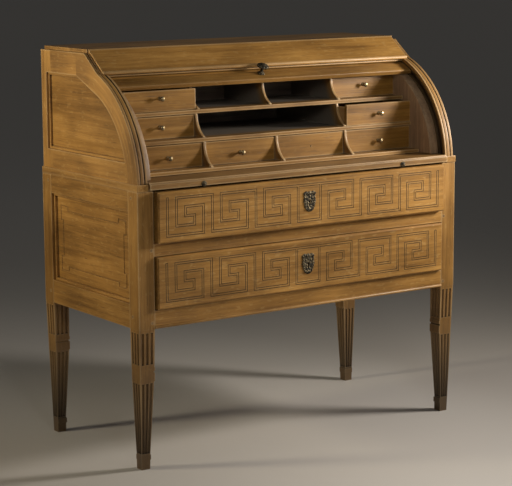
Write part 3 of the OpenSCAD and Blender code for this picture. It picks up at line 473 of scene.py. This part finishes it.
wearing = {
    "caseAlongX": ["front_rail_bottom", "front_rail_middle", "top_board"],
    "caseAlongY": ["side_rails", "waist_mouldings"],
    "post": posts,
    "cheek": cheeks,
    "panel": panels,
    "slope": ["slope_board"],
    "flap": ["writing_board"],
    "drawerFront": ["upper_drawer_front", "lower_drawer_front"],
    "gallery": shelves,
    "galleryUpright": ["gallery_dividers"],
    "gallerySideLit": ["gallery_sides"],
    "galleryDrawer": smallDrawers,
    "roll": ["roll_rail", "roll_slats"],
    "inside": ["gallery_backs"],
    "rear": ["back_boards", "dust_boards", "desk_bed"],
    "insideDeep": ["drawer_runners", "upper_drawer_box", "lower_drawer_box"],
    "peg": ["joint_pegs"],
    "brass": [
        "upper_drawer_lock", "lower_drawer_lock", "upper_drawer_bolt", "lower_drawer_bolt",
        *smallKnobs,
    ],
    "oldBrass": [
        "roll_knob", "writing_board_pulls", "upper_drawer_escutcheon", "lower_drawer_escutcheon",
    ],
    "linen": ["roll_canvas"],
}
for finish, names in wearing.items():
    for name in names:
        data = nodes[name].data
        data.materials.clear()
        data.materials.append(finishes[finish])
print("solids finished", sum(len(names) for names in wearing.values()), "of", len(nodes))

softened = {
    "joinReach": 0.00002,
    "flatAngle": 0.4,
    "edgeAngle": 35,
    "width": 0.0014,
    "segments": 2,
    "boards": [
        "side_rails", "front_rail_bottom", "front_rail_middle", "top_board", "slope_board",
        "writing_board", "waist_mouldings", "gallery_dividers", "gallery_sides", "roll_rail",
        *shelves, *posts, *cheeks, *panels, *smallDrawers,
    ],
}
for name in softened["boards"]:
    board = nodes[name]
    weld = board.modifiers.new("joined", "WELD")
    weld.merge_threshold = softened["joinReach"]
    flat = board.modifiers.new("flattened", "DECIMATE")
    flat.decimate_type = "DISSOLVE"
    flat.angle_limit = math.radians(softened["flatAngle"])
    soft = board.modifiers.new("softened", "BEVEL")
    soft.width = softened["width"]
    soft.segments = softened["segments"]
    soft.limit_method = "ANGLE"
    soft.angle_limit = math.radians(softened["edgeAngle"])
    soft.use_clamp_overlap = True
    soft.profile = 0.5
print("edges softened on", len(softened["boards"]), "boards")


def sized(outline, radius, height):
    # an outline given as shares, from foot to tip, at its real size
    return [(share * radius, rise * height) for share, rise in outline]


def spinRound(mesh, geometry, steps):
    bmesh.ops.spin(
        mesh, geom=geometry, cent=(0, 0, 0), axis=(0, 0, 1),
        angle=2 * math.pi, steps=steps, use_merge=True,
    )


def spinOutline(mesh, outline, steps):
    points = [mesh.verts.new((radius, 0, height)) for radius, height in outline]
    edges = [mesh.edges.new(pair) for pair in zip(points, points[1:])]
    spinRound(mesh, points + edges, steps)


def closeSeams(mesh):
    bmesh.ops.remove_doubles(mesh, verts=mesh.verts, dist=0.00001)
    bmesh.ops.recalc_face_normals(mesh, faces=mesh.faces)


def lathe(name, outline, foot, direction, finish, steps=32):
    # a turned piece that stands on its foot and points in a direction
    mesh = bmesh.new()
    spinOutline(mesh, outline, steps)
    closeSeams(mesh)
    turn = Vector((0, 0, 1)).rotation_difference(Vector(direction)).to_matrix().to_4x4()
    bmesh.ops.transform(mesh, matrix=Matrix.Translation(foot) @ turn, verts=mesh.verts)
    return makePiece(name, mesh, finish)


def makePiece(name, mesh, finish):
    data = bpy.data.meshes.new(name)
    mesh.to_mesh(data)
    mesh.free()
    data.materials.append(finishes[finish])
    for face in data.polygons:
        face.use_smooth = True
    piece = bpy.data.objects.new(name, data)
    bpy.context.scene.collection.objects.link(piece)
    return piece


knob = {
    # radius and height as shares of the whole knob's
    "outline": [
        (0.00, 0.00), (0.84, 0.00), (0.86, 0.04), (0.74, 0.10), (0.42, 0.15), (0.34, 0.26),
        (0.33, 0.42), (0.40, 0.55), (0.62, 0.62), (0.88, 0.68), (0.98, 0.76), (1.00, 0.83),
        (0.94, 0.90), (0.76, 0.96), (0.50, 0.99), (0.30, 0.985), (0.24, 1.00), (0.00, 1.00),
    ],
}

for name in smallKnobs:
    low, high = boxOf(name)
    outline = sized(knob["outline"], (high.x - low.x) / 2, high.y - low.y)
    foot = ((low.x + high.x) / 2, high.y, (low.z + high.z) / 2)
    piece = lathe("turned_" + name, outline, foot, (0, -1, 0), "brass")
    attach(piece, bodyOf[name])
    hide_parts(name)
print("small knobs turned")

rollPull = {
    "radius": 0.0165,
    "height": 0.031,
    "steps": 72,
    "lobes": 9,
    "lobeDepth": 0.09,
    "outline": [
        (0.00, 0.00), (0.66, 0.00), (0.70, 0.04), (0.56, 0.09), (0.34, 0.14), (0.28, 0.24),
        (0.27, 0.44), (0.34, 0.54), (0.60, 0.61), (0.92, 0.66), (1.00, 0.73), (0.98, 0.80),
        (0.84, 0.87), (0.62, 0.91), (0.50, 0.93), (0.42, 0.97), (0.24, 0.995), (0.00, 1.00),
    ],
}


def gadroon(piece, foot, direction, lobes, depth, radius):
    # pushes a turned piece's wide parts in and out round its axis
    side = Vector((1, 0, 0))
    front = direction.cross(side)
    for vertex in piece.data.vertices:
        reach = vertex.co - foot
        out = reach - direction * reach.dot(direction)
        turn = math.atan2(out.dot(front), out.dot(side))
        share = min(1.0, (out.length / radius) ** 2)
        vertex.co += out * (depth * share * math.cos(turn * lobes))


# the solid's length comes from its box, because the knob leans in it
low, high = boxOf("roll_knob")
middle = (low + high) / 2
outward = Vector((0, middle.y - rollAxis.y, middle.z - rollAxis.z)).normalized()
solidLength = (high.z - low.z - (high.x - low.x) * abs(outward.y)) / outward.z
pullFoot = middle - outward * (solidLength / 2)
outline = sized(rollPull["outline"], rollPull["radius"], rollPull["height"])
piece = lathe("roll_pull", outline, pullFoot, outward, "oldBrass", rollPull["steps"])
gadroon(piece, pullFoot, outward, rollPull["lobes"], rollPull["lobeDepth"], rollPull["radius"])
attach(piece, bodyOf["roll_knob"])
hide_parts("roll_knob")
print("roll pull made")

plate = {
    "columns": 44,
    "rows": 60,
    "relief": 0.0023,
    "thickness": 0.0012,
    # half width as a share of the plate's, from its foot to its top
    "shield": [
        (-1.00, 0.16), (-0.93, 0.40), (-0.80, 0.60), (-0.55, 0.78), (-0.25, 0.88), (0.05, 1.00),
        (0.16, 0.96), (0.30, 0.90), (0.60, 0.90), (0.82, 0.98), (0.94, 0.92), (1.00, 0.74),
    ],
    "scallops": (24, 0.035),  # how many radians of wave from middle to edge, how deep
    "crest": (9, 0.04),
    "keyhole": (0.0034, 0.0016, 0.0115),  # radius of its bow, half slot, slot length
    # middle and width of each raised form, as shares of the plate
    "border": (0.82, 0.10),
    "beads": 22,
    "leafRing": (0.62, 0.17),
    "leaves": 7,
    "keyRing": (0.34, 0.08),
    "crown": (0.74, 0.14, 0.30),
    "drop": (-0.72, 0.12, 0.26),
}


def along(table, value):
    # straight lines between a table's rows
    for (before, first), (after, last) in zip(table, table[1:]):
        if value <= after:
            return first + (last - first) * (value - before) / (after - before)
    return table[-1][1]


def swell(value, middle, width):
    return math.exp(-((value - middle) / width) ** 2)


def plateRelief(u, v):
    # a beaded border, leaves that spread from the middle and a ring round the keyhole
    turn = math.atan2(u, v)
    beading = 0.62 + 0.38 * math.cos(turn * plate["beads"])
    border = swell(max(abs(u), abs(v)), *plate["border"]) * beading
    reach = math.hypot(u, v * 1.25)
    leaves = 0.5 + 0.5 * math.cos(turn * plate["leaves"] + math.sin(reach * 9.0))
    leaves *= swell(reach, *plate["leafRing"])
    ring = swell(math.hypot(u, v * 1.5), *plate["keyRing"])
    raised = 0.0
    for form in ("crown", "drop"):
        height, tall, wide = plate[form]
        raised += swell(v, height, tall) * swell(u, 0.0, wide)
    return min(1.0, border + leaves * 0.8 + ring * 0.5 + raised * 0.6)


def pierced(x, z):
    bow, half, length = plate["keyhole"]
    return math.hypot(x, z) < bow or (abs(x) < half and -length < z < 0)


def keyholePlate(name, node):
    low, high = boxOf(node)
    middle = (low + high) / 2
    halfWidth = (high.x - low.x) / 2
    halfHeight = (high.z - low.z) / 2
    mesh = bmesh.new()
    bmesh.ops.create_grid(
        mesh, x_segments=plate["columns"], y_segments=plate["rows"], size=1.0,
    )
    holes = []
    for face in mesh.faces:
        u, v = face.calc_center_median().xy
        if pierced(u * halfWidth, v * halfHeight):
            holes.append(face)
    bmesh.ops.delete(mesh, geom=holes, context="FACES")
    scallops, scallopDepth = plate["scallops"]
    waves, crestHeight = plate["crest"]
    for vertex in mesh.verts:
        u, v = vertex.co.xy
        scallop = 1 + scallopDepth * math.cos(v * scallops) * abs(u) ** 3
        crest = 1 + crestHeight * math.cos(u * waves) * max(0.0, v) ** 3
        vertex.co = (
            middle.x + u * halfWidth * along(plate["shield"], v) * scallop,
            high.y - plate["thickness"] - plate["relief"] * plateRelief(u, v),
            middle.z + v * halfHeight * crest,
        )
    bmesh.ops.recalc_face_normals(mesh, faces=mesh.faces)
    if next(iter(mesh.faces)).normal.y > 0:
        bmesh.ops.reverse_faces(mesh, faces=mesh.faces)
    bmesh.ops.solidify(mesh, geom=mesh.faces[:], thickness=plate["thickness"])
    bmesh.ops.recalc_face_normals(mesh, faces=mesh.faces)
    piece = makePiece(name, mesh, "oldBrass")
    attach(piece, bodyOf[node])
    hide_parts(node)


keyholePlate("upper_keyhole_plate", "upper_drawer_escutcheon")
keyholePlate("lower_keyhole_plate", "lower_drawer_escutcheon")
print("keyhole plates made")

boardPull = {
    # radius and height as shares of the rosette's
    "rosette": [(0.0, 0.0), (1.0, 0.0), (1.0, 0.3), (0.8, 0.5), (0.5, 0.6), (0.42, 0.9), (0.0, 1.0)],
    "rosetteRadius": 0.0062,
    "rosetteHeight": 0.005,
    "rosetteSteps": 24,
    "ringRadius": 0.0068,
    "ringWire": 0.0016,
    "ringSteps": 28,
    "wireSides": 10,
}

low, high = boxOf("writing_board_pulls")
inset = boardPull["rosetteRadius"]
quarter = math.pi / 2
pullMesh = bmesh.new()
for side in (-1, 1):
    rosette = bmesh.new()
    outline = sized(boardPull["rosette"], inset, boardPull["rosetteHeight"])
    spinOutline(rosette, outline, boardPull["rosetteSteps"])
    # a ring of wire lies round the rosette's foot
    circle = bmesh.ops.create_circle(
        rosette, segments=boardPull["wireSides"], radius=boardPull["ringWire"]
    )["verts"]
    bmesh.ops.rotate(rosette, verts=circle, cent=(0, 0, 0), matrix=Matrix.Rotation(quarter, 3, "X"))
    bmesh.ops.translate(rosette, verts=circle, vec=(boardPull["ringRadius"], 0, 0))
    wire = list({edge for vertex in circle for edge in vertex.link_edges})
    spinRound(rosette, circle + wire, boardPull["ringSteps"])
    closeSeams(rosette)
    foot = Vector((side * (high.x - inset), high.y, high.z - inset))
    matrix = Matrix.Translation(foot) @ Matrix.Rotation(quarter, 4, "X")
    bmesh.ops.transform(rosette, matrix=matrix, verts=rosette.verts)
    half = bpy.data.meshes.new("half")
    rosette.to_mesh(half)
    rosette.free()
    pullMesh.from_mesh(half)
    bpy.data.meshes.remove(half)
piece = makePiece("writing_board_rosettes", pullMesh, "oldBrass")
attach(piece, bodyOf["writing_board_pulls"])
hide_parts("writing_board_pulls")
print("writing board pulls made")

studio = {
    "floor": (0.60, 0.575, 0.545),
    "floorRoughness": 0.7,
    "floorReach": 60,
    "air": (1.0, 0.98, 0.94),
    "ambient": 0.054,
    "lights": [
        # name, place, aimed at, width, power, spread in degrees, colour
        ("fromRight", (1.42, -0.80, 1.15), (0.0, -0.2, 0.75), 0.45, 12.5, 180, (1.0, 0.92, 0.82)),
        ("fromRightAbove", (1.42, -0.80, 1.20), (0.1, -0.25, 0.85), 0.3, 5, 90, (1.0, 0.92, 0.82)),
        ("fromLeft", (-2.15, 0.62, 1.25), (-0.5, 0.0, 0.7), 0.35, 6.8, 180, (1.0, 0.88, 0.64)),
        ("fromLeftAbove", (-2.15, 0.62, 1.30), (-0.5, 0.0, 1.05), 0.3, 3.2, 80, (1.0, 0.88, 0.64)),
        ("front", (-1.4, -3.2, 2.2), (0, 0, 0.95), 0.9, 1.2, 36, (1.0, 0.96, 0.90)),
        ("onFloor", (0.1, -2.0, 2.4), (-0.1, -1.8, 0), 0.6, 8.5, 66, (1.0, 0.94, 0.86)),
    ],
}

floorMesh = bmesh.new()
bmesh.ops.create_grid(floorMesh, x_segments=8, y_segments=8, size=studio["floorReach"])
floorData = bpy.data.meshes.new("floor")
floorMesh.to_mesh(floorData)
floorMesh.free()
floorPiece = bpy.data.objects.new("floor", floorData)
bpy.context.scene.collection.objects.link(floorPiece)
floorData.materials.append(Shader("floorPaper").finish(
    Base_Color=studio["floor"], Roughness=studio["floorRoughness"]
))

for name, spot, aim, width, power, spread, colour in studio["lights"]:
    data = bpy.data.lights.new(name, "AREA")
    data.shape = "DISK"
    data.size = width
    data.energy = power
    data.spread = math.radians(spread)
    data.color = colour
    light = bpy.data.objects.new(name, data)
    bpy.context.scene.collection.objects.link(light)
    facing = (Vector(aim) - Vector(spot)).to_track_quat("-Z", "Y").to_matrix().to_4x4()
    light.matrix_world = Matrix.Translation(spot) @ facing

world = bpy.data.worlds.new("studio")
world.use_nodes = True
background = world.node_tree.nodes["Background"]
background.inputs["Color"].default_value = (*studio["air"], 1)
background.inputs["Strength"].default_value = studio["ambient"]
bpy.context.scene.world = world
bpy.context.scene.view_settings.view_transform = "Standard"
print("floor and lights set")
